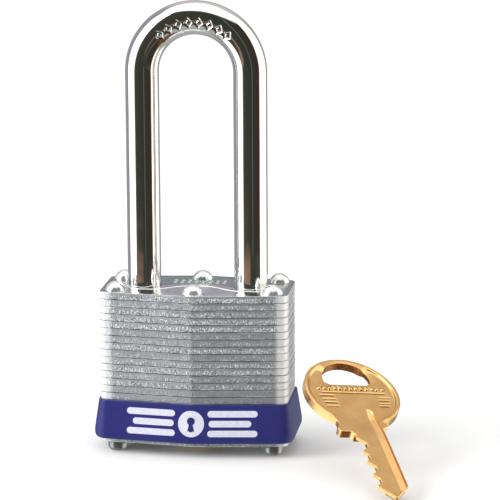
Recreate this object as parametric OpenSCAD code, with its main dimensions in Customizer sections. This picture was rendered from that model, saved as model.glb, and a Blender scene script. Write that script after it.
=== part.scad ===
// Laminated steel padlock with a long shackle, a moulded bumper and its key.
// Millimetres. X runs across the case, Y to its back, Z up the shackle. The
// origin is on the plug's axis, in the plane that the four rivet feet stand on.
// The lock is drawn closed with its plug turned to the open position, so the
// levers are drawn back and the shackle is free to lift.

/* [Case] */
// Width of the plate stack
case_w = 40; // [36:0.5:50]
// Depth of the stack at the crease in the middle of its front
case_d = 20.8; // [19.5:0.1:26]
// Depth of the stack at its two ends
case_end_d = 15.8; // [14.5:0.1:19]
// Radius of the stack's upright corners
corner_r = 1.8; // [0.8:0.1:3]
// Radius of the crease in the front and back
crease_r = 3; // [1:0.5:8]
// Thickness of one plate
plate_t = 1.55; // [1.4:0.05:1.9]

/* [Rivets] */
// Diameter of a rivet's shank
rivet_d = 2.8; // [2.2:0.1:3.2]
// Diameter of a rivet's domed head
rivet_head_d = 4.4; // [3.8:0.1:5]
// Height of a rivet's domed head
rivet_head_h = 1.9; // [1.2:0.1:2.1]
// Diameter of the button that a rivet stands on
foot_d = 4; // [3.4:0.1:4.6]
// Height of that button
foot_h = 2.2; // [1.6:0.1:3]
// Distance of the corner rivets from the ends of the stack
rivet_end = 3.3; // [2.9:0.1:3.8]
// Distance of each rivet from the front or back edge beside it
rivet_edge = 2.3; // [2.1:0.1:2.6]

/* [Shackle] */
// Diameter of the shackle's bar
shackle_d = 7.1; // [5.8:0.1:8.6]
// Distance between the centres of the shackle's legs
leg_gap = 22.8; // [22:0.1:24]
// Clear height inside the closed shackle
shackle_clear = 53.5; // [25:0.5:80]
// How far the open shackle rises
lift = 11.5; // [10.5:0.5:14]
// Depth of the notch that a lever bolts into
notch_depth = 1.9; // [1.8:0.1:2.1]

/* [Levers] */
// How far each lever moves into its notch
lever_travel = 1.8; // [1.2:0.1:1.8]
// Reach of the cam that draws the levers back
cam_reach = 3; // [2.9:0.1:3.1]
// Thickness of the bar that the cam pushes
lever_bar = 1.1; // [0.8:0.1:1.3]

/* [Cylinder] */
// Distance from the plug's face to the first pin
first_pin = 4.5; // [3:0.1:5]
// Distance between pins
pin_pitch = 3.75; // [3.2:0.05:4]
// Diameter of the pins
pin_d = 2.6; // [2.1:0.1:2.9]
// Thickness of the shell's wall over the plug
shell_wall = 0.64; // [0.5:0.02:0.8]

/* [Key] */
// Width of the key's blade
blade_w = 6.8; // [5.6:0.1:7]
// Thickness of the key
key_t = 2; // [1.6:0.1:2.3]
// Width of the key's bow
bow_w = 20.4; // [18:0.2:25]
// Length of the key's bow
bow_l = 22; // [18:0.2:27]
// Length of the neck between the shoulder and the middle of the bow
neck_l = 13.1; // [11:0.1:15]
// Depth of each cut in the blade, from the bow to the tip
cut_depth = [1.6, 1.0, 1.5, 1.3];

/* [Bumper] */
// Height of the bumper
bumper_h = 8.4; // [5:0.1:16]
// Thickness of the bumper at its top edge
bumper_lip = 0.4; // [0.3:0.05:0.8]
// Thickness of the bumper at its widest
bumper_flare = 1.35; // [0.9:0.05:2.5]

/* [Clearances] */
// Radial clearance of a rivet in the plates
rivet_fit = 0.05; // [0.02:0.01:0.1]
// Radial clearance of the shackle in the case
shackle_fit = 0.1; // [0.05:0.01:0.2]
// Radial clearance of the plug in its shell
plug_fit = 0.06; // [0.02:0.01:0.1]
// Clearance of small parts in their pockets
pocket_fit = 0.1; // [0.05:0.01:0.12]
// Gap between the cam and the lever bar it pushes
cam_fit = 0.05; // [0.02:0.01:0.1]

/* [Hidden] */
$fn = 48;
cylinder_plates = 14;
plates = 21;

steel = [0.66, 0.67, 0.66];
chrome = [0.82, 0.82, 0.83];
brass = [0.80, 0.62, 0.33];
spring_steel = [0.45, 0.45, 0.47];
blue = [0.19, 0.19, 0.48];

// underside of plate number i, counted from the base plate
function plate_z(i) = foot_h + i * plate_t;
case_top = plate_z(plates);
cylinder_z = plate_z(1);
cylinder_top = plate_z(cylinder_plates + 1);
lever_z = cylinder_top + 2 * plate_t;
lever_top = lever_z + 2 * plate_t;

rivet_x = case_w / 2 - rivet_end;
corner_rivet_y = case_end_d / 2 - rivet_edge;
middle_rivet_y = case_d / 2 - rivet_edge - 1.1;
rivet_places = [for (y = [-1, 1]) for (x = [-1, 0, 1])
    [x * rivet_x, y * (x == 0 ? middle_rivet_y : corner_rivet_y)]];

shackle_r = shackle_d / 2;
leg_x = leg_gap / 2;
crown_z = case_top + shackle_clear - leg_x + shackle_r;
bore_r = shackle_r + shackle_fit;

plug_r = blade_w / 2 + 0.9;
plug_z = cylinder_z - plate_t + 0.4;
plug_top = cylinder_top - 1.4;
shell_x = plug_r + 2;
shell_y = plug_r + plug_fit + shell_wall;
pin_wall = 0.6;
chamber_r = pin_d / 2 + pocket_fit;
bible_y = chamber_r + 1.5;
bible_x = plug_r + 5.9;
cover_t = 0.7;
pin_z = [for (i = [0:3]) plug_z + first_pin + i * pin_pitch];
clip_t = 0.6;
neck_r = 2.1;
tail_flat = 1.2;
cam_r = 2.9;

blade_l = plug_top - 0.1 - plug_z;
groove_a = [1.3, blade_w / 2 - 0.2];
groove_depth = 0.7;
ward_h = 0.5;
// the cut side of the blade is milled thinner from behind, up to just short of the stop
thin_a = 1.1;
thin_depth = key_t * 0.65;
thin_l = blade_l - 1.2;

// the levers, each in its own layer of the stack
lever_half = 4.5;
lever_gap = 0.05;
nose_x = leg_x - shackle_r - 0.25;
nose_l = 1.4;
nose_y = 3;
window_y = 3.4;
tail_x = cam_reach + cam_fit + lever_bar;

// the pin that keeps the open shackle in the case lies in the height of one plate
keeper_d = plate_t - 0.15;
keeper_x = leg_x + shackle_r + 0.05;
keeper_z = cylinder_top + plate_t / 2;
keeper_l = 7.4;
flange_top = keeper_z - lift - keeper_d / 2 - 0.15;
flange_h = 1.2;
heel_end = flange_top - flange_h;
toe_end = cylinder_top + 0.4;

// where the loose key stands: its tip on the floor, its bow raised behind it
key_tip = [46, -40.3, 1.83];
key_turn = [23.8, 6.7, 25.3];

// points of an arc that rounds the corner p between the points before and after
function unit(v) = v / norm(v);
function corner(before, p, after, r) =
    let (
        u = unit(before - p),
        v = unit(after - p),
        half = acos(u * v) / 2,
        centre = p + unit(u + v) * r / sin(half),
        start = p + u * r / tan(half) - centre,
        turn = 180 - 2 * half,
        steps = max(2, ceil(turn / 12))
    )
    [for (i = [0:steps]) let (a = i / steps * turn)
        centre + [start.x * cos(a) - start.y * sin(a), start.x * sin(a) + start.y * cos(a)]];

// the stack's outline, grown by some distance: six sides with a crease front and back
function case_points(grow) =
    let (
        x = case_w / 2 + grow,
        y = case_end_d / 2 + grow,
        m = case_d / 2 + grow,
        p = [[-x, -y], [0, -m], [x, -y], [x, y], [0, m], [-x, y]]
    )
    [for (i = [0:5]) each corner(p[(i + 5) % 6], p[i], p[(i + 1) % 6],
        (i % 3 == 1 ? crease_r : corner_r) + grow)];

module case_outline(grow = 0) polygon(case_points(grow));

module rivet_holes() {
    for (p = rivet_places) translate(p) circle(rivet_d / 2 + rivet_fit);
}

module heel_bore() translate([-leg_x, 0]) circle(bore_r);

module toe_bore() translate([leg_x, 0]) circle(bore_r);

// plan of the cylinder: a round shell with flats, and the block of pins beside it
module cylinder_outline(grow) {
    intersection() {
        circle(shell_x + grow);
        square([4 * shell_x, 2 * (shell_y + grow)], center = true);
    }
    translate([0, -bible_y - grow]) square([bible_x + grow, 2 * (bible_y + grow)]);
}

// plate number i: the outline with its rivet holes, less the openings given as children
module plate(i) {
    color(steel)
    translate([0, 0, plate_z(i)])
    linear_extrude(plate_t)
    difference() {
        case_outline();
        rivet_holes();
        children();
    }
}

module base_plate() plate(0) circle(plug_r + pocket_fit);

module cylinder_plate(i) {
    plate(i) {
        cylinder_outline(pocket_fit);
        heel_bore();
    }
}

module cam_plate_1() {
    plate(cylinder_plates + 1) {
        circle(cam_r + pocket_fit);
        heel_bore();
        toe_bore();
        translate([-keeper_x, 0])
            square([keeper_d + pocket_fit, keeper_l + 2 * pocket_fit], center = true);
    }
}

module cam_plate_2() {
    plate(cylinder_plates + 2) {
        circle(cam_r + pocket_fit);
        heel_bore();
        toe_bore();
    }
}

// the levers slide in this slot, which runs from one shackle bore to the other
module lever_plate(i) {
    body_x = nose_x - nose_l + lever_travel + pocket_fit;
    tip_x = nose_x + lever_travel + pocket_fit;
    plate(cylinder_plates + 2 + i) {
        square(2 * [body_x, lever_half + pocket_fit], center = true);
        square(2 * [tip_x, nose_y + pocket_fit], center = true);
        heel_bore();
        toe_bore();
    }
}

module upper_plate() {
    plate(plates - 2) {
        heel_bore();
        toe_bore();
    }
}

module top_plate() {
    plate(plates - 1) {
        heel_bore();
        toe_bore();
    }
}

// a domed rivet; at the corners it stands on an upset button, in the middle it ends flush
module rivet(button) {
    edge_r = foot_d / 4;
    dome_r = (pow(rivet_head_d / 2, 2) + pow(rivet_head_h, 2)) / (2 * rivet_head_h);
    translate([0, 0, foot_h]) cylinder(d = rivet_d, h = case_top - foot_h);
    if (button)
        rotate_extrude()
        polygon(concat(
            [[0, 0]],
            [for (a = [-90:15:0]) [foot_d / 2 - edge_r + edge_r * cos(a), edge_r + edge_r * sin(a)]],
            [[foot_d / 2, foot_h], [0, foot_h]]
        ));
    translate([0, 0, case_top])
    rotate_extrude()
    intersection() {
        translate([0, rivet_head_h - dome_r]) circle(dome_r);
        square([rivet_head_d / 2, rivet_head_h]);
    }
}

module case_rivets() color(steel) for (p = rivet_places) translate(p) rivet(p.x != 0);

// moulded jacket: flared from a thin lip down to a thick rounded foot, as rings of the
// case's outline grown by each step's thickness and joined into one closed wall
module bumper() {
    bottom = foot_h + 0.85;
    inside = 0.02;
    steps = [[0, inside], [0, bumper_flare * 0.3], [0.2, bumper_flare * 0.6],
        [0.6, bumper_flare * 0.88], [1.2, bumper_flare], [2, bumper_flare],
        [bumper_h - 0.3, bumper_lip], [bumper_h, bumper_lip - 0.15], [bumper_h, inside]];
    rings = len(steps);
    sides = len(case_points(0));
    points = [for (s = steps) for (p = case_points(s[1])) [p.x, p.y, bottom + s[0]]];
    faces = [for (i = [0:rings - 1]) for (j = [0:sides - 1])
        let (up = (i + 1) % rings, next = (j + 1) % sides)
        [i * sides + j, up * sides + j, up * sides + next, i * sides + next]];
    color(blue) polyhedron(points, faces, convexity = 4);
}

// a rod of diameter d along X from x0 to x1, at height z
module rod_x(d, x0, x1, z) translate([x0, 0, z]) rotate([0, 90, 0]) cylinder(d = d, h = x1 - x0);

module cylinder_shell() {
    cover_y = chamber_r + 0.5;
    color(brass)
    difference() {
        translate([0, 0, cylinder_z + pocket_fit])
            linear_extrude(plug_top - cylinder_z - 2 * pocket_fit)
            difference() {
                cylinder_outline(0);
                circle(plug_r + plug_fit);
            }
        for (z = pin_z) rod_x(2 * chamber_r, plug_r - 1, bible_x + 1, z);
        translate([bible_x - cover_t, -cover_y, pin_z[0] - cover_y])
            cube([cover_t + 1, 2 * cover_y, pin_z[3] - pin_z[0] + 2 * cover_y]);
    }
}

module chamber_cover() {
    cover_y = chamber_r + 0.45;
    color(brass)
    translate([bible_x - cover_t, -cover_y, pin_z[0] - cover_y])
        cube([cover_t, 2 * cover_y, pin_z[3] - pin_z[0] + 2 * cover_y]);
}

// the keyway that the blade fills, with the wards that its groove and its thin side clear
module keyway() {
    half_x = blade_w / 2 + pocket_fit;
    half_y = key_t / 2 + pocket_fit;
    difference() {
        square([2 * half_x, 2 * half_y], center = true);
        translate([-groove_a[1] + 0.15, -half_y])
            square([groove_a[1] - groove_a[0] - 0.3, ward_h]);
        translate([thin_a + 0.15, half_y - thin_depth + 0.1]) square([half_x, thin_depth]);
    }
}

module plug() {
    groove_z = plug_top + 0.05;
    color(brass) {
        difference() {
            translate([0, 0, plug_z]) cylinder(r = plug_r, h = plug_top - plug_z);
            translate([0, 0, plug_z - 1]) linear_extrude(blade_l + 1.05) keyway();
            for (z = pin_z) rod_x(2 * chamber_r, blade_w / 2 - 1.9, plug_r + 1, z);
        }
        translate([0, 0, plug_top]) cylinder(r = neck_r, h = clip_t + 0.1);
        translate([0, 0, groove_z + clip_t + 0.05])
            cylinder(r = neck_r + 0.5, h = cylinder_top - groove_z - clip_t - 0.15);
        translate([0, 0, cylinder_top - 0.1])
            linear_extrude(plate_t + 0.6)
            intersection() {
                circle(neck_r);
                square([2 * neck_r, 2 * tail_flat], center = true);
            }
    }
}

// slotted spring-steel washer that holds the plug in the shell
module plug_clip() {
    color(spring_steel)
    translate([0, 0, plug_top + 0.05])
    linear_extrude(clip_t)
    difference() {
        circle(plug_r + 0.5);
        circle(neck_r + 0.05);
        translate([-plug_r - 1, -neck_r - 0.05]) square([plug_r + 1, 2 * neck_r + 0.1]);
    }
}

// involute cam: its reach towards a lever falls evenly as the plug turns a quarter turn
function cam_arc(side) =
    let (fall = lever_travel / (PI / 2))
    [for (a = [0:9:90])
        let (reach = cam_reach - fall * a * PI / 180)
        side * [reach * cos(a) + fall * sin(a), reach * sin(a) - fall * cos(a)]];

module lever_cam() {
    slot_top = plate_t + 0.7;
    color(brass) {
        translate([0, 0, cylinder_top + 0.05])
        difference() {
            cylinder(r = cam_r, h = 2 * plate_t);
            translate([0, 0, -0.1])
            linear_extrude(slot_top)
            intersection() {
                circle(neck_r + 0.05);
                square([3 * neck_r, 2 * tail_flat + 0.1], center = true);
            }
        }
        translate([0, 0, lever_z + 0.05])
            linear_extrude(2 * plate_t - 0.1)
            polygon(concat(cam_arc(1), cam_arc(-1)));
    }
}

// key pin number i: a rounded tip in the keyway and a flat end at the shear line
module key_pin(i) {
    tip_x = blade_w / 2 - cut_depth[i - 1] + 0.05;
    end_x = sqrt(pow(plug_r, 2) - pow(pin_d / 2, 2)) - 0.03;
    color(brass)
    translate([tip_x, 0, pin_z[i - 1]])
    rotate([0, 90, 0])
        rotate_extrude()
        polygon([[0, 0], [0.5, 0], [pin_d / 2, 0.7], [pin_d / 2, end_x - tip_x], [0, end_x - tip_x]]);
}

driver_x = [plug_r + 0.08, plug_r + 2.5];

module driver_pins() color(brass) for (z = pin_z) rod_x(pin_d, driver_x[0], driver_x[1], z);

// a wire coiled about Z from 0 to the given length
module coil(mean_r, wire_r, length, turns) {
    steps = turns * 14;
    sides = 6;
    points = [for (i = [0:steps]) for (j = [0:sides - 1])
        let (
            a = i / steps * turns * 360,
            r = mean_r + wire_r * cos(j / sides * 360),
            z = wire_r + (length - 2 * wire_r) * i / steps + wire_r * sin(j / sides * 360)
        )
        [r * cos(a), r * sin(a), z]];
    skin = [for (i = [0:steps - 1]) for (j = [0:sides - 1])
        let (k = (j + 1) % sides)
        [i * sides + j, i * sides + k, (i + 1) * sides + k, (i + 1) * sides + j]];
    start = [for (j = [sides - 1:-1:0]) j];
    end = [for (j = [0:sides - 1]) steps * sides + j];
    polyhedron(points, concat([start], skin, [end]), convexity = 8);
}

module pin_springs() {
    length = bible_x - cover_t - driver_x[1];
    color(spring_steel)
    for (z = pin_z)
        translate([driver_x[1], 0, z]) rotate([0, 90, 0]) coil(0.9, 0.15, length, 4);
}

// plan of a lever whose nose points to -X, round the window that the cam turns in
module lever_outline() {
    window_x = cam_reach + 1.3;
    difference() {
        translate([-nose_x + nose_l, -lever_half])
            square([nose_x - nose_l + tail_x, 2 * lever_half]);
        translate([-window_x, -window_y]) square([window_x + tail_x - lever_bar, 2 * window_y]);
    }
    lever_nose();
}

module lever_nose() translate([-nose_x, -nose_y]) square([nose_l, 2 * nose_y]);

// the nose fills both lever layers, so each lever bolts with its full height
module heel_lever() {
    color(steel) {
        translate([0, 0, lever_z + lever_gap])
            linear_extrude(plate_t - 2 * lever_gap) lever_outline();
        translate([0, 0, lever_z + lever_gap])
            linear_extrude(2 * plate_t - 2 * lever_gap) lever_nose();
    }
}

module toe_lever() {
    color(steel)
    mirror([1, 0, 0]) {
        translate([0, 0, lever_z + plate_t + lever_gap])
            linear_extrude(plate_t - 2 * lever_gap) lever_outline();
        translate([0, 0, lever_z + lever_gap])
            linear_extrude(2 * plate_t - 2 * lever_gap) lever_nose();
    }
}

// one spring in each layer, from a lever's tail to the other lever's nose
module lever_springs() {
    length = nose_x - nose_l - tail_x;
    color(spring_steel)
    for (side = [0, 1])
        mirror([side, 0, 0])
        translate([tail_x, 0, lever_z + plate_t * (0.5 + side)])
        rotate([0, 90, 0])
            coil(0.45, 0.1, length, 4);
}

module keeper_pin() {
    color(steel)
    translate([-keeper_x, keeper_l / 2, keeper_z])
    rotate([90, 0, 0])
        cylinder(d = keeper_d, h = keeper_l);
}

// U-shaped bar; the long heel leg keeps the lock together, the short toe leg frees it
module shackle() {
    neck_r = leg_x - nose_x - lever_travel - 0.15;
    neck_top = lever_top - lift + 0.2;
    heel = [[0, heel_end], [shackle_r - 0.4, heel_end], [shackle_r, heel_end + 0.4],
        [shackle_r, flange_top], [neck_r, flange_top], [neck_r, neck_top],
        [shackle_r, neck_top], [shackle_r, crown_z], [0, crown_z]];
    toe = [[0, toe_end], [shackle_r - 0.7, toe_end], [shackle_r, toe_end + 0.8],
        [shackle_r, crown_z], [0, crown_z]];
    notch = [shackle_r, 2 * shackle_r, 2 * plate_t + 0.3];
    color(chrome)
    difference() {
        union() {
            translate([-leg_x, 0]) rotate_extrude() polygon(heel);
            translate([leg_x, 0]) rotate_extrude() polygon(toe);
            translate([0, 0, crown_z])
                rotate([90, 0, 0])
                rotate_extrude(angle = 180)
                translate([leg_x, 0]) circle(shackle_r);
        }
        for (side = [-1, 1])
            translate([side * (leg_x - shackle_r + notch_depth - notch.x / 2), 0, (lever_z + lever_top) / 2])
            cube(notch, center = true);
        translate([-keeper_x - keeper_d, -shackle_r, flange_top])
            cube([1.5 * keeper_d + 0.1, 2 * shackle_r, keeper_z + keeper_d / 2 + 0.2 - flange_top]);
    }
}

module shackle_spring() {
    color(spring_steel)
    translate([-leg_x, 0, cylinder_z + 0.05])
        coil(shackle_r - 0.9, 0.4, heel_end - cylinder_z - 0.1, 6);
}

// outline of the key: X across the blade, Y from the tip to the bow
module key_outline() {
    half = blade_w / 2;
    bow_y = blade_l + neck_l;
    difference() {
        union() {
            polygon([for (a = [0:7.5:359]) [bow_w / 2 * cos(a), bow_y + bow_l / 2 * sin(a)]]);
            polygon([[0, 0], [half - 0.3, 3.4], [half, 4], [half, bow_y], [-half, bow_y],
                [-half, 4], [-half + 0.3, 3.4]]);
            polygon([[half - 1, blade_l + 0.4], [half + 0.3, blade_l + 1], [half + 1.2, blade_l + 3.6],
                [half + 1.2, bow_y], [-half - 3, bow_y], [-half - 2.5, blade_l + 2.6],
                [-half - 3, blade_l + 0.6], [-half - 2.6, blade_l], [-half, blade_l]]);
        }
        for (i = [0:3])
            translate([-half, blade_l - first_pin - i * pin_pitch])
            polygon([[-1, -cut_depth[i] - 1.6], [cut_depth[i], -0.6], [cut_depth[i], 0.6],
                [-1, cut_depth[i] + 1.6]]);
        intersection() {
            translate([0, bow_y + 4.5]) circle(5.2);
            translate([-6, bow_y + 2.8]) square([12, 12]);
        }
    }
}

module key() {
    color(brass)
    translate(key_tip)
    rotate(key_turn)
    difference() {
        translate([0, 0, -key_t]) linear_extrude(key_t) key_outline();
        translate([groove_a[0], 2.4, -groove_depth])
            cube([groove_a[1] - groove_a[0], blade_l + 5, groove_depth + 1]);
        translate([-blade_w, -1, -key_t - 1])
            cube([blade_w - thin_a, thin_l + 1, thin_depth + 1]);
    }
}

base_plate();
for (i = [1:cylinder_plates]) cylinder_plate(i);
cam_plate_1();
cam_plate_2();
for (i = [1:2]) lever_plate(i);
upper_plate();
top_plate();
case_rivets();
bumper();
cylinder_shell();
chamber_cover();
plug();
plug_clip();
lever_cam();
for (i = [1:4]) key_pin(i);
driver_pins();
pin_springs();
heel_lever();
toe_lever();
lever_springs();
keeper_pin();
shackle();
shackle_spring();
key();
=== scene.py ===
import math

import bpy
import numpy as np
from mathutils import Matrix, Vector
from mathutils.geometry import delaunay_2d_cdt


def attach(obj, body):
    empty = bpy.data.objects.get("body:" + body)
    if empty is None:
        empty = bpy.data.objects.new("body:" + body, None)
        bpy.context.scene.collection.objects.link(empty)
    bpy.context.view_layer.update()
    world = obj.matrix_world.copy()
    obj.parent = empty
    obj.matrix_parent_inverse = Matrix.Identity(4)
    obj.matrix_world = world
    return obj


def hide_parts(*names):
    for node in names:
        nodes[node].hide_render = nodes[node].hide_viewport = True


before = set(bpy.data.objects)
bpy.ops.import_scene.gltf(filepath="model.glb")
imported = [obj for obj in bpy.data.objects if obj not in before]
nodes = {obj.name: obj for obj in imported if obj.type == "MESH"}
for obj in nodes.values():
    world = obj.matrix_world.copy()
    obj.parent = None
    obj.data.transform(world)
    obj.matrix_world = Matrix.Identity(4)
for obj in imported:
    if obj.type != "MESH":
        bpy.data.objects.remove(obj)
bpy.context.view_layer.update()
mm = 0.001  # shapes are worked out in millimetres, and addPiece turns them to metres
chance = np.random.default_rng(7)


def unit(v):
    return v / np.linalg.norm(v, axis=-1, keepdims=True)


# A smooth step from 0 at low to 1 at high: 3t^2 - 2t^3.
def smooth(value, low, high):
    t = np.clip((value - low) / (high - low), 0, 1)
    return t * t * (3 - 2 * t)


# Places spaced evenly about zero.
def spread(count, pitch):
    return (np.arange(count) - (count - 1) / 2) * pitch


# Every pairing of an x with a y, as rows of points.
def gridOf(xs, ys):
    return np.stack(np.meshgrid(xs, ys), -1).reshape(-1, 2)


def angles(sides):
    return np.arange(sides) * 2 * np.pi / sides


# Volume is a sixth of the sum of a . (b x c) over the triangles: below zero, each face
# is turned round.
def outward(points, faces):
    split = [f[:, [0, i, i + 1]] for f in faces for i in range(1, f.shape[1] - 1)]
    a, b, c = points[np.vstack(split)].transpose(1, 0, 2)
    inside = np.einsum("ij,ij->", a, np.cross(b, c)) < 0
    return points, [f[:, ::-1] if inside else f for f in faces]


# Quads between each row of point numbers and the next, with the columns closed.
def quadsBetween(index):
    ahead = np.roll(index, -1, 1)
    return np.stack([index[:-1], ahead[:-1], ahead[1:], index[1:]], -1).reshape(-1, 4)


# A skin over rows of points: a quad between neighbours, with the columns closed. The
# rows close too where ring is true, else a fan round its middle closes each end row.
def skin(rows, ring=False):
    count, columns = rows.shape[:2]
    index = np.arange(count * columns).reshape(count, columns)
    if ring:
        index = np.vstack([index, index[:1]])
    points = rows.reshape(-1, 3)
    if ring:
        return outward(points, [quadsBetween(index)])
    last = len(points)
    points = np.vstack([points, rows[0].mean(0), rows[-1].mean(0)])
    start = np.stack([np.roll(index[0], -1), index[0], np.full(columns, last)], -1)
    end = np.stack([index[-1], np.roll(index[-1], -1), np.full(columns, last + 1)], -1)
    return outward(points, [quadsBetween(index), start, end])


def joined(parts):
    starts = np.cumsum([0] + [len(points) for points, faces in parts[:-1]])
    faces = [f + start for (_, fs), start in zip(parts, starts) for f in fs]
    return np.vstack([points for points, _ in parts]), faces


# The middle of every face.
def middles(points, faces):
    return np.vstack([points[f].mean(1) for f in faces])


# Which points lie in a loop: each side that a ray towards +X crosses flips the answer.
def within(points, loop):
    x, y = points[:, :1], points[:, 1:]
    (ax, ay), (bx, by) = loop.T, np.roll(loop, -1, 0).T
    run = np.where(by == ay, 1, by - ay)
    crossed = ((ay > y) != (by > y)) & (x < ax + (y - ay) * (bx - ax) / run)
    return crossed.sum(1) % 2 == 1


# Distance from each point to the nearest side of a polyline.
def distance(points, line, closed=True):
    a = line if closed else line[:-1]
    b = np.roll(line, -1, 0) if closed else line[1:]
    run = b - a
    t = np.einsum("pij,ij->pi", points[:, None] - a, run) / (run * run).sum(1)
    near = a + np.clip(t, 0, 1)[..., None] * run
    return np.linalg.norm(points[:, None] - near, axis=2).min(1)


# Triangles that fill an outline round its holes. Loops may cross each other: a triangle
# stays where its middle is in the outline and in no hole. Lines and spare points are
# worked in as they are. Each point is first moved by less than a thousandth of a
# millimetre, so that no three points of a straight side lie exactly in line.
def filled(outline, holes=(), spare=np.zeros((0, 2)), lines=()):
    outline, *holes = [loop + chance.uniform(-5e-4, 5e-4, loop.shape)
                       for loop in (outline, *holes)]
    loops = [outline, *holes, *lines]
    starts = np.cumsum([0] + [len(loop) for loop in loops[:-1]])
    edges = [np.stack([np.arange(len(l)), np.roll(np.arange(len(l)), -1)], -1) + s
             for l, s in zip(loops, starts)]
    points, _, triangles, *_ = delaunay_2d_cdt(
        np.vstack([*loops, spare]).tolist(), np.vstack(edges).tolist(), [], 0, 1e-7, False)
    points, triangles = np.array(points), np.array(triangles)
    a, b, c = points[triangles].transpose(1, 0, 2)
    area = (b - a)[:, 0] * (c - a)[:, 1] - (b - a)[:, 1] * (c - a)[:, 0]
    triangles = np.where(area[:, None] < 0, triangles[:, ::-1], triangles)
    middle = (a + b + c) / 3
    keep = within(middle, outline)
    for hole in holes:
        keep &= ~within(middle, hole)
    return points, triangles[keep]


# The points that some triangle uses, and the triangles numbered to match.
def trimmed(points, triangles):
    used, numbers = np.unique(triangles, return_inverse=True)
    return points[used], numbers.reshape(triangles.shape)


# Edges that only one triangle uses, each in that triangle's direction.
def rimOf(triangles, count):
    edges = triangles[:, [[0, 1], [1, 2], [2, 0]]].reshape(-1, 2)
    lone = ~np.isin(edges @ [count, 1], edges @ [1, count])
    return edges[lone]


# A sheet of triangles given a lower and an upper place for each point, and walls
# between them along every edge.
def slab(triangles, lower, upper):
    count = len(lower)
    a, b = rimOf(triangles, count).T
    walls = np.stack([b + count, a + count, a, b], -1)
    return np.vstack([lower, upper]), [triangles + count, triangles[:, ::-1], walls]


def circle(centre, radius, sides=48):
    a = angles(sides)
    return np.stack([centre[0] + radius * np.cos(a), centre[1] + radius * np.sin(a)], -1)


# A profile of (radius, height) turned about an upright axis.
def turned(profile, centre, sides=48):
    a = angles(sides)
    r, z = np.array(profile).T[:, :, None]
    return skin(np.stack(np.broadcast_arrays(
        centre[0] + r * np.cos(a), centre[1] + r * np.sin(a), z), -1))


# Corners of a polygon rounded: an arc that turns from one side to the next, centred on
# their bisector at r / sin(half the corner), with the sides between cut into steps of
# some length, or into a set number of steps for each side.
def rounded(corners, radii, step, arcSteps=7):
    p, r = np.array(corners, float), np.array(radii, float)[:, None]
    u, v = unit(np.roll(p, 1, 0) - p), unit(np.roll(p, -1, 0) - p)
    half = np.arccos(np.clip((u * v).sum(1), -1, 1))[:, None] / 2
    bisector = (u + v) / np.maximum(np.linalg.norm(u + v, axis=1, keepdims=True), 1e-9)
    centre = p + bisector * r / np.sin(half)
    start = p + u * r / np.tan(half) - centre
    side = np.sign(u[:, :1] * v[:, 1:] - u[:, 1:] * v[:, :1])
    turn = -side * (np.pi - 2 * half) * np.linspace(0, 1, arcSteps + 1)
    c, s, x, y = np.cos(turn), np.sin(turn), start[:, :1], start[:, 1:]
    arcs = centre[:, None] + np.stack([x * c - y * s, x * s + y * c], -1)
    gaps = np.linalg.norm(np.roll(arcs, -1, 0)[:, 0] - arcs[:, -1], axis=1)
    cuts = np.maximum(1, np.round(gaps / step)) if np.ndim(step) == 0 else step
    rows = []
    for arc, following, count in zip(arcs, np.roll(arcs, -1, 0), cuts):
        t = np.linspace(0, 1, int(count) + 1)[1:-1, None]
        rows += [arc, arc[-1] + (following[0] - arc[-1]) * t]
    return np.vstack(rows)


# A tube along an open path of points: each ring stands across the path's direction.
def tube(path, halfWidth, halfHeight, sides=12):
    along = unit(np.gradient(path, axis=0))
    across = unit(np.cross(along, [0, 0, 1]))
    up = np.cross(across, along)
    a = angles(sides)
    taper = np.sqrt(np.clip(1 - np.linspace(-1, 1, len(path)) ** 8, 0.02, 1))[:, None, None]
    return skin(path[:, None] + taper * (
        halfWidth * np.cos(a)[:, None] * across[:, None]
        + halfHeight * np.sin(a)[:, None] * up[:, None]))


# One piece: its faces, its named values for each point, and its place on a body.
def addPiece(name, shape, body, material, replaced=(), sharp=38, values={}):
    points, faces = shape
    sizes = np.concatenate([np.full(len(f), f.shape[1]) for f in faces])
    corners = np.concatenate([f.ravel() for f in faces])
    mesh = bpy.data.meshes.new(name)
    mesh.vertices.add(len(points))
    mesh.vertices.foreach_set("co", (points * mm).ravel())
    mesh.loops.add(len(corners))
    mesh.loops.foreach_set("vertex_index", corners.astype(np.int32))
    mesh.polygons.add(len(sizes))
    mesh.polygons.foreach_set("loop_start", (np.cumsum(sizes) - sizes).astype(np.int32))
    mesh.update(calc_edges=True)
    mesh.shade_smooth()
    mesh.set_sharp_from_angle(angle=math.radians(sharp))
    for key, value in values.items():
        flat = value.ndim == 1
        layer = mesh.attributes.new(key, "FLOAT" if flat else "FLOAT_VECTOR", "POINT")
        layer.data.foreach_set("value" if flat else "vector", value.astype(np.float32).ravel())
    mesh.materials.append(material)
    piece = bpy.data.objects.new(name, mesh)
    bpy.context.scene.collection.objects.link(piece)
    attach(piece, body)
    if replaced:
        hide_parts(*replaced)
    return piece


def linear(hexColour):
    s = np.array([int(hexColour[i:i + 2], 16) for i in (1, 3, 5)]) / 255
    return (*np.where(s <= 0.04045, s / 12.92, ((s + 0.055) / 1.055) ** 2.4), 1)


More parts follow.
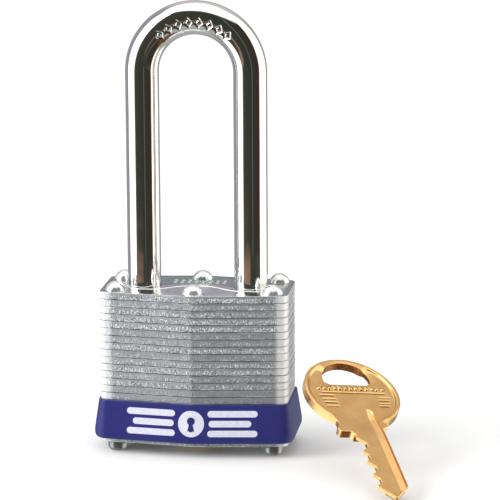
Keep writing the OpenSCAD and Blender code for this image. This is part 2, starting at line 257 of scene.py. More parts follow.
# One node: a socket takes a value, another node's output, or a node, which stands for its
# first open output. Stops are (place, colour or grey) along a ramp.
def addNode(tree, kind, sockets={}, stops=(), **settings):
    node = tree.nodes.new("ShaderNode" + kind)
    for key, value in settings.items():
        setattr(node, key, value)
    for key, value in sockets.items():
        if isinstance(value, bpy.types.Node):
            value = next(output for output in value.outputs if output.enabled)
        if isinstance(value, bpy.types.NodeSocket):
            tree.links.new(value, node.inputs[key])
        else:
            node.inputs[key].default_value = value
    if stops:
        ramp = node.color_ramp.elements
        while len(ramp) < len(stops):
            ramp.new(0.5)
        for element, (place, colour) in zip(ramp, stops):
            element.position = place
            element.color = linear(colour) if isinstance(colour, str) else (colour,) * 3 + (1,)
    return node


def newMaterial(name):
    material = bpy.data.materials.new(name)
    material.use_nodes = True
    tree = material.node_tree
    tree.nodes.clear()
    return material, tree


def finishMaterial(tree, sockets):
    shader = addNode(tree, "BsdfPrincipled", sockets)
    addNode(tree, "OutputMaterial", {"Surface": shader})


# Noise at a grain size in millimetres, different along each axis, over the object's own
# space or another place. A shift gives a new drawing of the same grain.
def addGrain(tree, grain, detail=2, rough=0.5, shift=None, place=None):
    scaled = addNode(tree, "Mapping", {
        "Vector": place or addNode(tree, "TexCoord").outputs["Object"],
        "Scale": [1 / (g * mm) for g in grain]}, vector_type="POINT")
    sockets = {"Vector": scaled, "Scale": 1, "Detail": detail, "Roughness": rough}
    if shift is None:
        return addNode(tree, "TexNoise", sockets, noise_dimensions="3D")
    return addNode(tree, "TexNoise", {**sockets, "W": shift}, noise_dimensions="4D")


# A colour that wanders between stops over a grain.
def speckled(tree, grain, detail, stops):
    return addNode(tree, "ValToRGB", {"Fac": addGrain(tree, grain, detail)}, stops)


print("tools ready")

# laminated case: sheared, zinc-plated sheet steel
stack = {
    "width": 40, "depth": 20.8, "endDepth": 15.8, "cornerRadius": 1.8, "creaseRadius": 3,
    "plate": 1.55, "foot": 2.2, "plates": 21, "rivetHole": 1.45, "bore": 3.65,
    "legX": 11.4, "slack": 0.07, "edgeSmall": 0.05, "edgeLarge": 0.15,
    "cornerHighlightFade": (1.85, 2.4),  # the painted highlight on a corner fades between these distances from its centre
}
top = stack["foot"] + stack["plates"] * stack["plate"]
cornerX = stack["width"] / 2 - stack["cornerRadius"]
cornerY = stack["endDepth"] / 2 - stack["cornerRadius"]


# The case in plan, grown outwards: six sides, with round corners at the ends and a
# crease in the middle of the front and back. Anticlockwise from the front left.
def caseOutline(grow):
    x, y, m = np.array([stack["width"], stack["endDepth"], stack["depth"]]) / 2 + grow
    radii = [stack["cornerRadius"] + grow, stack["creaseRadius"] + grow,
             stack["cornerRadius"] + grow] * 2
    corners = [[-x, -y], [0, -m], [x, -y], [x, y], [0, m], [-x, y]]
    return rounded(corners, radii, [42, 42, 28] * 2, 12)


# The sheared edge: its marks' grain in mm and their shares, how much the plates differ,
# where up a plate the marks fade and to what, and its seams, as parts of a plate.
shear = {
    "strokes": (0.24, 0.24, 0.42), "fine": (0.11, 0.11, 0.22), "patches": (2.6, 2.6, 1.2),
    "shares": (0.66, 0.2, 0.14), "differ": (0.6, 1.5), "fade": (0.6, 0.78), "faded": 0.25,
    "tones": [(0.35, "#747A7E"), (0.42, "#B0B5BA"), (0.56, "#C4C9CF"), (0.59, "#FFFFFF")],
    # the corner colour is a painted highlight for the rounded corners
    "corner": "#F6F7F6", "seam": (0.02, 0.085), "seamShare": 0.9, "dirt": "#23292A",
    "burr": 0.11, "relief": 0.36, "metallic": 0.78, "cornerMetallic": 0.3, "roughness": 0.48,
}


# Each sheet is sheared to shape: clean along the top of its edge, torn below, with dirt in the joints.
# The rounded corners carry a painted highlight: their colour is taken towards near white, with less
# metal and no marks.
def plateSteel(name):
    material, tree = newMaterial(name)
    axes = addNode(tree, "SeparateXYZ", {"Vector": addNode(tree, "TexCoord").outputs["Object"]})
    height = addNode(tree, "Math", {0: axes.outputs["Z"], 1: stack["foot"] * mm},
                     operation="SUBTRACT")
    level = addNode(tree, "Math", {0: height, 1: stack["plate"] * mm}, operation="DIVIDE")
    plateNumber = addNode(tree, "Math", {0: level}, operation="FLOOR")
    plateNumber = addNode(tree, "Math", {0: plateNumber, 1: 3.7}, operation="MULTIPLY")
    # shear marks: upright strokes a quarter of a millimetre wide, new on each plate
    strokes = addGrain(tree, shear["strokes"], 2, 0.55, plateNumber)
    fine = addGrain(tree, shear["fine"], 2, 0.6, plateNumber)
    patches = addGrain(tree, shear["patches"], 2, 0.5, plateNumber)
    marks = 0.0
    for grain, share in zip((strokes, fine, patches), shear["shares"]):
        marks = addNode(tree, "Math", {0: grain, 1: share, 2: marks}, operation="MULTIPLY_ADD")
    # some plates sheared cleanly and some tore, so the marks differ in strength
    torn = addNode(tree, "MapRange", {
        "Value": addNode(tree, "TexWhiteNoise", {"W": plateNumber}, noise_dimensions="1D"),
        "To Min": shear["differ"][0], "To Max": shear["differ"][1]})
    # the punch cut the upper third of each edge clean; below it the metal broke away
    broken = addNode(tree, "MapRange", {
        "Value": addNode(tree, "Math", {0: level}, operation="FRACT"),
        "From Min": shear["fade"][0], "From Max": shear["fade"][1],
        "To Min": 1, "To Max": shear["faded"]}, interpolation_type="SMOOTHSTEP")
    strength = addNode(tree, "Math", {0: torn, 1: broken}, operation="MULTIPLY")
    swing = addNode(tree, "Math", {0: marks, 1: 0.5}, operation="SUBTRACT")
    mixed = addNode(tree, "Math", {0: strength, 1: swing, 2: 0.5}, operation="MULTIPLY_ADD")
    tone = addNode(tree, "ValToRGB", {"Fac": mixed}, shear["tones"])
    # the rounded corners take a painted highlight: colour towards near white, less metal, no bump
    corner = addNode(tree, "Attribute", attribute_name="corner").outputs["Fac"]
    withCornerHighlight = addNode(tree, "Mix", {
        "Factor": addNode(tree, "Math", {0: corner, 1: 0.85}, operation="MULTIPLY"),
        "A": tone, "B": linear(shear["corner"])}, data_type="RGBA")
    # oxide and dirt in the seam: darkest at the joint, gone 0.13 mm from it
    joint = addNode(tree, "Math", {0: level, 1: 0.5}, operation="PINGPONG")
    seam = addNode(tree, "MapRange", {
        "Value": joint, "From Min": shear["seam"][0], "From Max": shear["seam"][1],
        "To Min": shear["seamShare"], "To Max": 0}, interpolation_type="SMOOTHSTEP")
    wander = addNode(tree, "MapRange", {
        "Value": addGrain(tree, (5, 5, 0.6), 2, 0.6, plateNumber),
        "From Min": 0.3, "From Max": 0.6, "To Min": 0.25, "To Max": 1})
    dark = addNode(tree, "Mix", {
        "Factor": addNode(tree, "Math", {0: seam, 1: wander}, operation="MULTIPLY"),
        "A": withCornerHighlight, "B": linear(shear["dirt"])}, data_type="RGBA")
    # a burr turned up along parts of the joint gets a painted glint: white is mixed into its colour
    offBurr = addNode(tree, "Math", {0: joint, 1: shear["burr"]}, operation="SUBTRACT")
    burr = addNode(tree, "MapRange", {
        "Value": addNode(tree, "Math", {0: offBurr}, operation="ABSOLUTE"),
        "From Min": 0.012, "From Max": 0.04, "To Min": 1, "To Max": 0})
    where = addNode(tree, "MapRange", {
        "Value": addGrain(tree, (3.4, 3.4, 0.5), 1, 0.5, plateNumber),
        "From Min": 0.54, "From Max": 0.62})
    bright = addNode(tree, "Mix", {
        "Factor": addNode(tree, "Math", {0: burr, 1: where}, operation="MULTIPLY"),
        "A": dark, "B": linear("#FFFFFF")}, data_type="RGBA")
    plain = addNode(tree, "Math", {0: 1.0, 1: corner}, operation="SUBTRACT", use_clamp=True)
    rise = addNode(tree, "Math", {0: mixed, 1: plain}, operation="MULTIPLY")
    finishMaterial(tree, {
        "Base Color": bright,
        "Metallic": addNode(tree, "MapRange", {
            "Value": corner, "To Min": shear["metallic"], "To Max": shear["cornerMetallic"]}),
        "Roughness": addNode(tree, "MapRange", {
            "Value": strokes, "From Min": 0.3, "From Max": 0.7,
            "To Min": shear["roughness"] - 0.1, "To Max": shear["roughness"] + 0.12}),
        "Normal": addNode(tree, "Bump", {
            "Height": rise, "Distance": shear["relief"] * mm, "Strength": 1})})
    return material


# Rolled sheet that the press has polished: fine scratches along the width, in a cloud of
# zinc bloom that takes the colour down to about three fifths.
def rolledSteel(name, colour, roughness):
    material, tree = newMaterial(name)
    scratches = addGrain(tree, (2.2, 0.12, 0.5), 3, 0.6)
    cloud = addGrain(tree, (1.4, 1.4, 1.4), 3, 0.6)
    relief = addNode(tree, "Math", {0: scratches, 1: cloud}, operation="ADD")
    finishMaterial(tree, {
        "Base Color": addNode(tree, "Mix", {
            "Factor": cloud, "A": [c * 0.62 for c in linear(colour)[:3]] + [1],
            "B": linear(colour)}, data_type="RGBA"),
        "Metallic": 1.0,
        "Roughness": addNode(tree, "MapRange", {
            "Value": scratches, "From Min": 0.3, "From Max": 0.7, "To Min": roughness - 0.05,
            "To Max": roughness + 0.08}),
        "Normal": addNode(tree, "Bump", {
            "Height": relief, "Distance": 0.02 * mm, "Strength": 0.5})})
    return material


shearedSteel = plateSteel("zincPlatedShearedSteel")
topSteel = rolledSteel("zincPlatedRolledSteel", "#C3CDCA", 0.22)
# the front strip's near-white colour is a painted highlight
frontHighlightSteel = rolledSteel("frontStripPaintedHighlight", "#FAFAFC", 0.2)

outline = caseOutline(0)
outlineNormal = unit(np.cross(
    np.pad(np.roll(outline, -1, 0) - np.roll(outline, 1, 0), ((0, 0), (0, 1))), [0, 0, 1])[:, :2])
# how much of the painted corner highlight each point of the outline takes
cornerShare = 1 - smooth(np.hypot(np.abs(outline[:, 0]) - cornerX,
                                  np.abs(outline[:, 1]) - cornerY), *stack["cornerHighlightFade"])
rivetX, rivetY, middleY = 16.7, 5.6, 7.0
rivetPlaces = [(x * rivetX, y * (rivetY if x else middleY)) for y in (-1, 1) for x in (-1, 0, 1)]
rivetHoles = [circle(p, stack["rivetHole"], 28) for p in rivetPlaces]
heelBore = circle((-stack["legX"], 0), stack["bore"], 56)
toeBore = circle((stack["legX"], 0), stack["bore"], 56)


def box(x0, x1, y):
    return np.array([[x0, -y], [x1, -y], [x1, y], [x0, y]], float)


shellA = np.arange(64) * np.pi / 32
shellHole = 6.4 * np.stack([np.cos(shellA), np.sin(shellA)], -1)
shellHole[:, 1] = np.clip(shellHole[:, 1], -5.1, 5.1)
openings = {
    "base": [circle((0, 0), 4.4)],
    "cylinder": [shellHole, box(0, 10.3, 3.0), heelBore],
    "cam1": [circle((0, 0), 3.0), heelBore, toeBore, box(-15.75, -14.25, 3.8)],
    "cam2": [circle((0, 0), 3.0), heelBore, toeBore],
    "lever": [box(-8.1, 8.1, 4.6), box(-9.5, 9.5, 3.1), heelBore, toeBore],
    "upper": [heelBore, toeBore],
}
fills = {key: filled(outline, rivetHoles + holes) for key, holes in openings.items()}


# One plate: rows that follow the outline up its sheared edge, set in by a rounding at
# each joint, by the plate's own slack and by a slow wave, then the two faces.
def plateShape(level, fill, lowEdge, highEdge, slack):
    points, triangles = fill
    count = len(outline)
    a = np.linspace(0, np.pi / 2, 4)
    low = [(lowEdge * (1 - np.sin(t)), lowEdge * (1 - np.cos(t))) for t in a]
    high = [(highEdge * (1 - np.sin(t)), stack["plate"] - highEdge * (1 - np.cos(t)))
            for t in a[::-1]]
    inset, z = np.array(low + [(0, 0.35 * stack["plate"]), (0.02, 0.7 * stack["plate"])] + high).T
    turn = np.arctan2(outline[:, 1], outline[:, 0])
    phase = chance.uniform(0, 6.3, 3)
    wave = sum(0.012 * np.sin(k * turn + f) for k, f in zip((3, 7, 17), phase))
    depth = inset[:, None] + slack + 0.036 + wave
    wall = np.concatenate([
        outline - outlineNormal * depth[..., None],
        np.broadcast_to(z[:, None, None], (len(z), count, 1))], -1)
    z0 = stack["foot"] + level * stack["plate"]
    inner = points[count:]
    faces3 = [np.column_stack([inner, np.full(len(inner), h)]) for h in (0, stack["plate"])]
    allPoints = np.vstack([wall.reshape(-1, 3), *faces3]) + [0, 0, z0]
    index = np.arange(len(z) * count).reshape(len(z), count)
    rest = index.size + np.arange(len(inner))
    lower = np.concatenate([index[0], rest])
    upper = np.concatenate([index[-1], rest + len(inner)])
    edges = rimOf(triangles, len(points))
    p, q = edges[(edges >= count).any(1)].T
    walls = np.stack([upper[q], upper[p], lower[p], lower[q]], -1)
    share = np.concatenate([np.tile(cornerShare, len(z)), np.zeros(2 * len(inner))])
    faces = [quadsBetween(index), upper[triangles], lower[triangles][:, ::-1], walls]
    return (allPoints, faces), share


plateNames = (["base_plate"] + [f"cylinder_plate_{i}" for i in range(1, 15)]
              + ["cam_plate_1", "cam_plate_2", "lever_plate_1", "lever_plate_2", "upper_plate"])
plateFills = ["base"] + ["cylinder"] * 14 + ["cam1", "cam2", "lever", "lever", "upper"]
for level, (name, kind) in enumerate(zip(plateNames, plateFills)):
    edges = chance.uniform(stack["edgeSmall"], stack["edgeLarge"], 2)
    shape, share = plateShape(level, fills[kind], *edges, chance.uniform(0, stack["slack"]))
    addPiece(name + "_sheared", shape, "case", shearedSteel, [name],
             values={"corner": share})
print("plates", len(plateNames))

# top plate: a pressed line runs before both legs; the strip in front of it has a near-white colour, a
# painted highlight
pressed = {"width": 0.42, "height": 0.3, "low": -4.35, "middle": -0.2, "end": 1.0, "reach": 15.6}
lineX = np.linspace(-pressed["reach"], pressed["reach"], 121)
away = np.abs(lineX)
lineY = (pressed["low"]
         + (pressed["middle"] - pressed["low"]) * (1 - smooth(away, 1.5, 9.5))
         + (pressed["end"] - pressed["low"]) * smooth(away, 13.2, 16.2))
pressedLine = np.stack([lineX, lineY], -1)

# The upper face is dimpled with small round punch marks behind the middle. Each has a
# low lip of metal that the punch pushed up.
def topPlate():
    marks = {"rows": 2, "count": 8, "pitch": 1.5, "rowPitch": 1.7, "radius": 0.5,
             "depth": 0.3, "lip": 0.16, "lipWidth": 0.13, "y": 3.6, "grid": 0.16,
             "lowEdge": 0.1, "highEdge": 0.16}
    fine = gridOf(np.arange(-6.9, 7, marks["grid"]), np.arange(1.4, 5.5, marks["grid"]))
    fill = filled(outline, rivetHoles + openings["upper"], fine)
    (points, faces), share = plateShape(len(plateNames), fill, marks["lowEdge"],
                                        marks["highEdge"], 0)
    upper = points[:, 2] > top - 0.01
    centres = gridOf(spread(marks["count"], marks["pitch"]),
                     marks["y"] + spread(marks["rows"], marks["rowPitch"]))
    d = np.linalg.norm(points[:, None, :2] - centres, axis=2).min(1)
    dent = marks["depth"] * (np.cos(np.clip(d / marks["radius"], 0, 1) * np.pi) + 1) / 2
    lip = marks["lip"] * np.exp(-((d - marks["radius"] * 1.2) / marks["lipWidth"]) ** 2)
    points[:, 2] += np.where(upper, lip - dent, 0)
    return (points, faces), share


topShape, topHighlightShare = topPlate()
topPiece = addPiece("top_plate_rolled", topShape, "case", topSteel,
                    ["top_plate"], values={"corner": topHighlightShare})
topPiece.data.materials.append(frontHighlightSteel)
topPiece.data.materials.append(shearedSteel)
middle = middles(*topShape)
lineAt = np.interp(middle[:, 0], lineX, lineY)
# faces in front of the pressed line take the painted highlight colour
frontHighlightFaces = (middle[:, 2] > top - 0.02) & (middle[:, 1] < lineAt) & (np.abs(middle[:, 0]) < 16)
sheared = middle[:, 2] < top - 0.1
topPiece.data.polygons.foreach_set(
    "material_index", np.where(sheared, 2, np.where(frontHighlightFaces, 1, 0)).astype(np.int32))

# the raised pressed line is real; its near-white colour is a painted highlight
lineHighlight, tree = newMaterial("pressedLinePaintedHighlight")
finishMaterial(tree, {
    "Base Color": speckled(tree, (0.5, 0.5, 0.5), 2, [(0.3, "#E4E6E6"), (0.6, "#FFFFFF")]),
    "Metallic": 0.4, "Roughness": 0.3,
    "Normal": addNode(tree, "Bump", {
        "Height": addGrain(tree, (0.3, 0.3, 0.3)), "Distance": 0.02 * mm, "Strength": 0.5})})
beadPath = np.column_stack([pressedLine, np.full(len(lineX), top - 0.05)])
addPiece("top_plate_pressed_line", tube(beadPath, pressed["width"] / 2, pressed["height"] / 2),
         "case", lineHighlight)
print("top plate")

# rivets: bright zinc-plated steel, domed heads above and upset buttons below
rivetSteel, tree = newMaterial("zincPlatedRivetSteel")
dings = addGrain(tree, (0.9, 0.9, 0.9), 2, 0.5)
plating = addNode(tree, "ValToRGB", {"Fac": dings}, [(0.35, "#DFE2E2"), (0.65, "#FBFBFB")])
# the buttons that the lock stands on are darkened towards the bottom, a painted shade
low = addNode(tree, "MapRange", {
    "Value": addNode(tree, "SeparateXYZ", {
        "Vector": addNode(tree, "TexCoord").outputs["Object"]}).outputs["Z"],
    "From Min": 2 * mm, "From Max": 3 * mm, "To Min": 0.85, "To Max": 0})
footShade = addNode(tree, "Mix", {"Factor": low, "A": plating, "B": linear("#7F8486")},
               data_type="RGBA")
finishMaterial(tree, {
    "Base Color": footShade, "Metallic": 0.8, "Roughness": 0.24,
    "Normal": addNode(tree, "Bump", {
        "Height": dings, "Distance": 0.05 * mm, "Strength": 0.5})})

rivet = {"shank": 1.4, "head": 2.2, "rise": 1.9, "button": 2.0, "buttonHeight": 2.2, "round": 0.95}


# A rivet in section: a button rounded at its foot, or none where the rivet ends flush,
# then the shank, a thin washer edge under the head, and a dome that is part of a sphere.
def rivetProfile(button):
    a = np.linspace(-np.pi / 2, 0, 9)
    foot = [(rivet["button"] - rivet["round"] * (1 - np.cos(t)),
             rivet["round"] * (1 + np.sin(t))) for t in a]
    ball = (rivet["head"] ** 2 + rivet["rise"] ** 2) / (2 * rivet["rise"])
    b = np.linspace(np.arcsin(rivet["head"] / ball * 0.995), 0.02, 18)
    dome = [(ball * np.sin(t), top + rivet["rise"] - ball * (1 - np.cos(t))) for t in b]
    standing = [(0.05, 0), *foot, (rivet["button"], rivet["buttonHeight"] - 0.12),
                (rivet["button"] - 0.12, rivet["buttonHeight"] - 0.01),
                (rivet["shank"], rivet["buttonHeight"] - 0.01)]
    flush = [(0.05, stack["foot"]), (rivet["shank"] - 0.1, stack["foot"]),
             (rivet["shank"], stack["foot"] + 0.1)]
    return (standing if button else flush) + [
        (rivet["shank"], top + 0.01), (rivet["head"] + 0.02, top + 0.01),
        (rivet["head"] + 0.06, top + 0.1), *dome]


addPiece("rivets_domed", joined([turned(rivetProfile(p[0] != 0), p) for p in rivetPlaces]), "case",
         rivetSteel, ["case_rivets"], sharp=50)
print("rivets")

# shackle: case-hardened steel bar, polished and chrome plated
bar = {
    "radius": 3.55, "legX": 11.4, "crown": 80.4, "heelEnd": 12.675, "flangeTop": 13.875,
    "neck": 1.85, "neckTop": 20.35, "flatTop": 27.125, "flat": 2.8, "toeEnd": 25.85,
    "notchLow": 28.4, "notchHigh": 31.8, "notch": 1.65, "edge": 0.12,
}
chrome, tree = newMaterial("polishedChromePlate")
straight = addNode(tree, "Attribute", attribute_name="straight").outputs["Vector"]
drawn = addGrain(tree, (0.5, 0.5, 14), 2, 0.5, place=straight)
swell = addGrain(tree, (5, 5, 9), 1, 0.5, place=straight)
drawnLines = addNode(tree, "Bump", {"Height": drawn, "Distance": 0.006 * mm, "Strength": 0.5})
finishMaterial(tree, {
    "Base Color": linear("#EEEDEA"), "Metallic": 1.0,
    "Roughness": addNode(tree, "MapRange", {
        "Value": drawn, "From Min": 0.3, "From Max": 0.7, "To Min": 0.03, "To Max": 0.085}),
    "Normal": addNode(tree, "Bump", {
        "Height": swell, "Distance": 0.1 * mm, "Strength": 0.35, "Normal": drawnLines})})


# A round bar carried up the heel leg, round the crown and down the toe leg. Where a
# plane is cut across it, its radius towards the plane is d / cos(angle). The marks on
# the crown's face are dented into it.
def shackleShape():
    r, e = bar["radius"], bar["edge"]
    far = 99.0
    # height, radius, distance of the cut on the inside, and of the cut on the outside
    heel = [(bar["heelEnd"], r - 0.4, far, far), (bar["heelEnd"] + 0.4, r, far, far),
            (bar["flangeTop"] - e, r, far, far), (bar["flangeTop"], bar["neck"] + 0.1, far, far),
            (bar["flangeTop"] + e, bar["neck"], far, far), (bar["neckTop"] - e, bar["neck"], far, far),
            (bar["neckTop"], bar["neck"] + 0.1, far, far), (bar["neckTop"] + e, r, far, bar["flat"]),
            (bar["flatTop"] - e, r, far, bar["flat"]), (bar["flatTop"] + e, r, far, far)]
    notch = [(bar["notchLow"] - e, r, far, far), (bar["notchLow"] + e, r, bar["notch"], far),
             (bar["notchHigh"] - e, r, bar["notch"], far), (bar["notchHigh"] + e, r, far, far)]
    leg = [(z, r, far, far) for z in np.linspace(34, bar["crown"], 40)[:-1]]
    toe = [(bar["toeEnd"], r - 0.7, far, far), (bar["toeEnd"] + 0.8, r, far, far),
           (bar["toeEnd"] + 1.2, r, far, far)]
    up, down = np.array(heel + notch + leg), np.array(toe + notch + leg)[::-1]
    arc = np.linspace(0, np.pi, 300)
    bend = np.column_stack([arc, np.full((len(arc), 2), [r, far]), np.full(len(arc), far)])
    cuts = np.concatenate([np.degrees(np.arccos([bar["notch"] / r])),
                           180 - np.degrees(np.arccos([bar["flat"] / r]))])
    front = np.arange(52, 112, 1.6)
    a = np.radians(np.unique(np.concatenate([
        np.arange(0, 52, 4), front, np.arange(112, 360, 4), cuts, 360 - cuts])))
    ones = np.ones(len(a))

    def rows(table, centre, inward):
        reach = np.where(np.cos(a) > 1e-6, table[:, 2:3] / np.maximum(np.cos(a), 1e-6), far)
        back = np.where(np.cos(a) < -1e-6, table[:, 3:4] / np.maximum(-np.cos(a), 1e-6), far)
        radius = np.minimum(table[:, 1:2] * ones, np.minimum(reach, back))
        return centre, inward, radius

    zero, one = np.zeros(len(up)), np.ones(len(up))
    sets = [rows(up, np.stack([-bar["legX"] * one, zero, up[:, 0]], -1),
                 np.stack([one, zero, zero], -1))]
    s, c, flat = np.sin(arc), np.cos(arc), np.zeros(len(arc))
    sets.append(rows(bend, np.stack([-bar["legX"] * c, flat, bar["crown"] + bar["legX"] * s], -1),
                     np.stack([c, flat, -s], -1)))
    zero, one = np.zeros(len(down)), np.ones(len(down))
    sets.append(rows(down, np.stack([bar["legX"] * one, zero, down[:, 0]], -1),
                     np.stack([-one, zero, zero], -1)))
    centre, inward, radius = [np.concatenate(part) for part in zip(*sets)]
    length = np.concatenate([up[:, 0], bar["crown"] + bar["legX"] * arc,
                             2 * bar["crown"] + bar["legX"] * np.pi - down[:, 0]])
    middle = bar["crown"] + bar["legX"] * np.pi / 2
    dents = crownMarks(length[:, None] - middle, (a - np.pi / 2) * r)
    dents = np.where((np.abs(length - middle) < 17)[:, None], dents, 0)
    outwards = np.cos(a)[:, None] * inward[:, None] + np.sin(a)[:, None] * np.array([0, -1, 0])
    points = centre[:, None] + (radius - dents)[..., None] * outwards
    flow = np.stack([r * np.cos(a) * np.ones_like(radius), r * np.sin(a) * np.ones_like(radius),
                     length[:, None] * ones], -1).reshape(-1, 3)
    ends = np.array([[0, 0, length[0]], [0, 0, length[-1]]])
    return skin(points), np.vstack([flow, ends]) * mm


# Punched marks in a row along the crown: squares on their points with a raised middle.
def crownMarks(along, around):
    mark = {"count": 8, "pitch": 2.35, "half": 1.12, "depth": 0.22, "at": -0.75}
    dent = 0
    for p in spread(mark["count"], mark["pitch"]):
        d = (np.abs(along - p) + np.abs(around - mark["at"]) * 0.8) / mark["half"]
        dent = dent + mark["depth"] * (smooth(d, 1.0, 0.7) - 0.8 * smooth(d, 0.55, 0.25))
    return dent


shackleMesh, flow = shackleShape()
addPiece("shackle_chromed", shackleMesh, "shackle", chrome, ["shackle"],
         sharp=32, values={"straight": flow})
print("shackle")

# bumper: moulded blue vinyl, with a printed white device
bumper = {"bottom": 3.05, "height": 8.4, "lip": 0.4, "flare": 1.35, "round": 1.15}


def bumperGrow(z):
    t = (z - bumper["bottom"] - 2) / (bumper["height"] - 2.3)
    return bumper["flare"] + (bumper["lip"] - bumper["flare"]) * np.clip(t, 0, 1)


# The case's outline grown row by row: a foot that rolls out as a quarter of an ellipse,
# a wall that leans in to a thin lip, and the way back down inside.
def bumperShape():
    low, high = bumper["bottom"], bumper["bottom"] + bumper["height"]
    a = np.linspace(0, np.pi / 2, 9)
    foot = [(low + bumper["round"] * (1 - np.cos(t)),
             0.3 * bumper["flare"] + 0.7 * bumper["flare"] * np.sin(t)) for t in a]
    wall = [(z, bumperGrow(z)) for z in np.linspace(low + 2, high - 0.32, 8)]
    lip = [(high - 0.12, bumper["lip"] - 0.03), (high - 0.03, bumper["lip"] - 0.1),
           (high, bumper["lip"] - 0.2), (high, 0.02)]
    rows = foot + wall + lip + [(low, 0.02)]
    return skin(np.stack([np.column_stack([caseOutline(g), np.full(len(outline), z)])
                          for z, g in rows]), ring=True)


vinyl, tree = newMaterial("mouldedBlueVinyl")
skinGrain = addGrain(tree, (0.35, 0.35, 0.35), 2, 0.5)
finishMaterial(tree, {
    "Base Color": speckled(tree, (7, 7, 5), 2, [(0.3, "#23256A"), (0.7, "#292B74")]),
    "Roughness": addNode(tree, "MapRange", {
        "Value": skinGrain, "From Min": 0.3, "From Max": 0.7, "To Min": 0.3, "To Max": 0.42}),
    "IOR": 1.5, "Specular IOR Level": 0.35,
    "Normal": addNode(tree, "Bump", {
        "Height": skinGrain, "Distance": 0.02 * mm, "Strength": 0.4})})
addPiece("bumper_moulded", bumperShape(), "case", vinyl, ["bumper"], sharp=50)

ink, tree = newMaterial("screenPrintedWhiteInk")
finishMaterial(tree, {
    "Base Color": speckled(tree, (0.4, 0.4, 0.4), 2, [(0.3, "#C6C7D8"), (0.7, "#D6D7E5")]),
    "Roughness": 0.4,
    "Normal": addNode(tree, "Bump", {
        "Height": addGrain(tree, (0.3, 0.3, 0.3)), "Distance": 0.02 * mm, "Strength": 0.5})})


# A flat drawing laid on the bumper's front: x and z give the place on its leaning wall,
# which is met by blending the outlines grown to its widest and to its lip.
def laidOnBumper(flat, stand):
    x, z = flat.T
    wide, thin = caseOutline(bumper["flare"]), caseOutline(bumper["lip"])
    fronts = []
    for loop in (wide, thin):
        front = loop[(loop[:, 1] < -stack["endDepth"] / 2 + 0.5)]
        order = np.argsort(front[:, 0])
        fronts.append(np.interp(x, front[order, 0], front[order, 1]))
    t = (bumper["flare"] - bumperGrow(z)) / (bumper["flare"] - bumper["lip"])
    return np.column_stack([x, fronts[0] * (1 - t) + fronts[1] * t - stand, z])


# A bar with round ends and steps along it fine enough to bend with the wall.
def pill(x0, x1, z, height):
    return rounded([[x0, z - height / 2], [x1, z - height / 2], [x1, z + height / 2],
                    [x0, z + height / 2]], [height * 0.49] * 4, 0.5, 5)


# A drawing cut fine enough to bend with the wall, standing 0.035 mm proud of it.
def inlaid(drawing, holes=()):
    low, high = drawing.min(0), drawing.max(0)
    grid = gridOf(*[np.arange(a + 0.25, b, 0.5) for a, b in zip(low, high)])
    spare = grid[within(grid, drawing) & (distance(grid, drawing) > 0.15)]
    points, triangles = trimmed(*filled(drawing, holes, spare))
    return slab(triangles, laidOnBumper(points, -0.03), laidOnBumper(points, 0.035))


device = {"z": 7.55, "ring": 2.75, "bar": 1.35, "pitch": 2.05, "near": 3.7, "far": 13.9}
keyholeA = np.radians(np.concatenate([np.arange(-62, 243, 12)]))
keyhole = np.vstack([
    np.stack([0.85 * np.cos(keyholeA), device["z"] + 0.55 + 0.85 * np.sin(keyholeA)], -1),
    [[-0.75, device["z"] - 1.55], [0.75, device["z"] - 1.55]]])
printed = [inlaid(circle((0, device["z"]), device["ring"], 72), [keyhole])]
for side in (-1, 1):
    for row, far in ((1, device["far"]), (0, device["far"] - 1.3), (-1, device["far"])):
        x = sorted([side * (device["near"] - 0.25 * abs(row)), side * far])
        printed.append(inlaid(pill(*x, device["z"] + row * device["pitch"], device["bar"])))
addPiece("bumper_print", joined(printed), "case", ink)
print("bumper")

# key: stamped nickel brass, one milled groove, raised rims on the bow
keySize = {
    "length": 21.35, "half": 3.4, "thick": 2.0, "bowY": 34.45, "bowX": 10.2, "bowHalf": 11.0,
    "holeR": 5.2, "holeY": 38.95, "holeFlat": 37.25, "firstCut": 4.5, "pitch": 3.75,
    "cuts": (1.6, 1.0, 1.5, 1.3), "root": 0.6, "rim": 1.05, "bead": 0.85, "field": 0.4,
    "thinDepth": 1.3, "thinEdge": 0.08,
}
keyTip = np.array([46, -40.3, 1.83])
keyTurn = np.radians([23.8, 6.7, 25.3])


# The key's outline from the tip: the plain edge, the hook under the bow, the bow as an
# ellipse, the stop, and the cut edge, which stands in by the deepest of its V cuts.
def keyOutline():
    k = keySize
    a = np.radians(np.arange(-61, 231, 3.0))
    bow = np.stack([k["bowX"] * np.cos(a), k["bowY"] + k["bowHalf"] * np.sin(a)], -1)
    b = np.arange(19.9, 4.3, -0.2)
    place = k["length"] - k["firstCut"] - np.arange(4) * k["pitch"]
    cut = np.clip(np.array(k["cuts"]) + k["root"] - np.abs(b[:, None] - place), 0, k["cuts"])
    edge = np.stack([cut.max(1) - k["half"], b], -1)
    parts = [
        ([[0, 0.05], [3.05, 3.4], [3.4, 4.3], [3.4, 22.4], [4.4, 22.9]], [0.35, 0.6, 0.6, 0.5, 0.35]),
        (bow, [0.05] * len(bow)),
        ([[-5.95, 25.1], [-5.8, 24.0], [-6.55, 22.3], [-6.15, 21.15], [-3.95, 21.15],
          [-3.4, 20.3]], [0.4, 1.1, 0.6, 0.25, 0.25, 0.3]),
        (edge, [0.03] * len(edge)),
        ([[-3.4, 4.1], [-3.05, 3.4]], [0.1, 0.3]),
    ]
    corners = np.vstack([points for points, _ in parts])
    loop = rounded(corners, sum((list(radii) for _, radii in parts), []), 0.2, 4)
    step = np.linalg.norm(np.roll(loop, -1, 0) - loop, axis=1)
    along = np.concatenate([[0], np.cumsum(step)])
    t = np.linspace(0, along[-1], int(along[-1] / 0.22), endpoint=False)
    return np.stack([np.interp(t, along, np.append(loop[:, i], loop[0, i])) for i in (0, 1)], -1)


